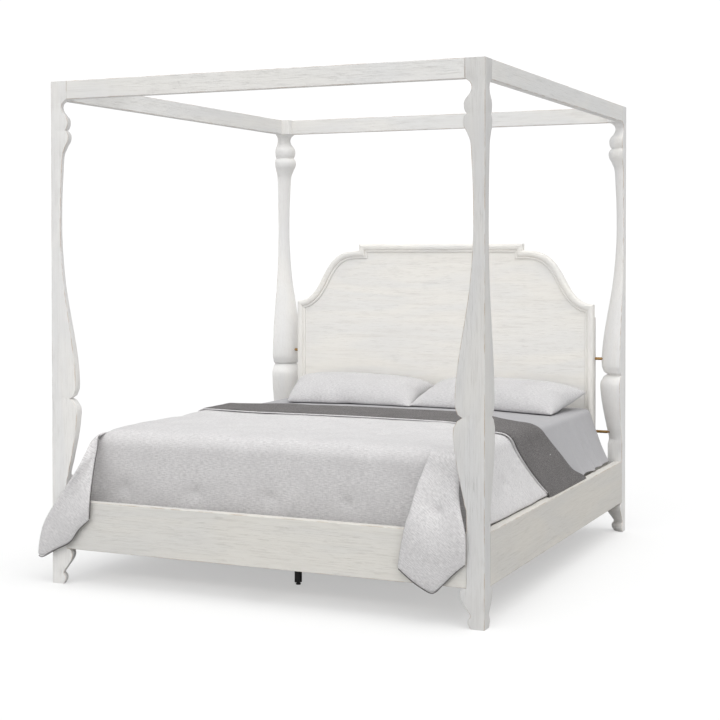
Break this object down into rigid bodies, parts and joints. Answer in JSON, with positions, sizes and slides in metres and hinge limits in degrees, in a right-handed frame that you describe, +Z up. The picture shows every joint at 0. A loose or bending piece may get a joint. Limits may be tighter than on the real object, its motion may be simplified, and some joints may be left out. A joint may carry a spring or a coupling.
{
  "type": "four poster canopy bed",
  "caption": "King four poster bed with profile-cut posts, open rail canopy, ogee-topped headboard, slatted base with centre legs, mattress, comforter and shams.",
  "frame": {"origin": "on the floor, at the middle of the frame's footprint", "axes": "+X to the right seen from the foot end, +Y towards the headboard, +Z up"},
  "size_m": [2.159, 2.4892, 2.3876],
  "materials": {
    "whitewashed_oak": "whitewashed, wire-brushed oak with a dull matt lacquer",
    "bare_softwood": "planed and unfinished",
    "black_steel": "black powder coat",
    "zinc_steel": "zinc plated",
    "bronze_bolt": "aged bronze",
    "mattress_ticking": "quilted knit ticking",
    "heathered_cover": "light heathered grey slub weave",
    "charcoal_reverse": "charcoal brushed weave",
    "grey_sheet": "smooth mid grey percale"
  },
  "bodies": {
    "bed": {"post_foot_left": "whitewashed_oak", "canopy_screw_foot_left": "zinc_steel", "rail_angle_foot_left": "zinc_steel", "post_foot_right": "whitewashed_oak", "canopy_screw_foot_right": "zinc_steel", "rail_angle_foot_right": "zinc_steel", "post_head_left": "whitewashed_oak", "canopy_screw_head_left": "zinc_steel", "rail_angle_head_left": "zinc_steel", "post_head_right": "whitewashed_oak", "canopy_screw_head_right": "zinc_steel", "rail_angle_head_right": "zinc_steel", "canopy_rail_foot": "whitewashed_oak", "canopy_rail_head": "whitewashed_oak", "canopy_rail_left": "whitewashed_oak", "canopy_rail_right": "whitewashed_oak", "footboard_rail": "whitewashed_oak", "head_rail": "whitewashed_oak", "side_rail_left": "whitewashed_oak", "side_rail_right": "whitewashed_oak", "headboard_panel": "whitewashed_oak", "moulding_top": "whitewashed_oak", "moulding_shoulder_left": "whitewashed_oak", "moulding_shoulder_right": "whitewashed_oak", "moulding_side_left": "whitewashed_oak", "moulding_side_right": "whitewashed_oak", "headboard_stile_left": "whitewashed_oak", "headboard_stile_right": "whitewashed_oak", "headboard_batten_lower": "whitewashed_oak", "headboard_batten_upper": "whitewashed_oak", "ledger_left": "bare_softwood", "ledger_right": "bare_softwood", "centre_rail": "bare_softwood", "slat_1": "bare_softwood", "slat_2": "bare_softwood", "slat_3": "bare_softwood", "slat_4": "bare_softwood", "slat_5": "bare_softwood", "slat_6": "bare_softwood", "centre_stirrup_foot": "black_steel", "centre_stirrup_head": "black_steel", "support_leg_1": "black_steel", "support_leg_2": "black_steel", "support_leg_3": "black_steel", "headboard_bolt_upper_left": "bronze_bolt", "headboard_bolt_upper_right": "bronze_bolt", "headboard_bolt_lower_left": "bronze_bolt", "headboard_bolt_lower_right": "bronze_bolt", "box_foundation": "mattress_ticking", "mattress": "mattress_ticking", "flat_sheet": "grey_sheet", "comforter": "heathered_cover", "comforter_turnback": "charcoal_reverse", "sham_left": "heathered_cover", "sham_right": "heathered_cover"},
    "screw_foot_1": {"screw_foot_1": "black_steel"},
    "screw_foot_2": {"screw_foot_2": "black_steel"},
    "screw_foot_3": {"screw_foot_3": "black_steel"}
  },
  "joints": [
    {"name": "screw_foot_1_adjust", "type": "slide", "parent": "bed", "child": "screw_foot_1", "axis": [0, 0, 1], "range_m": [0, 0.003]},
    {"name": "screw_foot_2_adjust", "type": "slide", "parent": "bed", "child": "screw_foot_2", "axis": [0, 0, 1], "range_m": [0, 0.003]},
    {"name": "screw_foot_3_adjust", "type": "slide", "parent": "bed", "child": "screw_foot_3", "axis": [0, 0, 1], "range_m": [0, 0.003]}
  ]
}
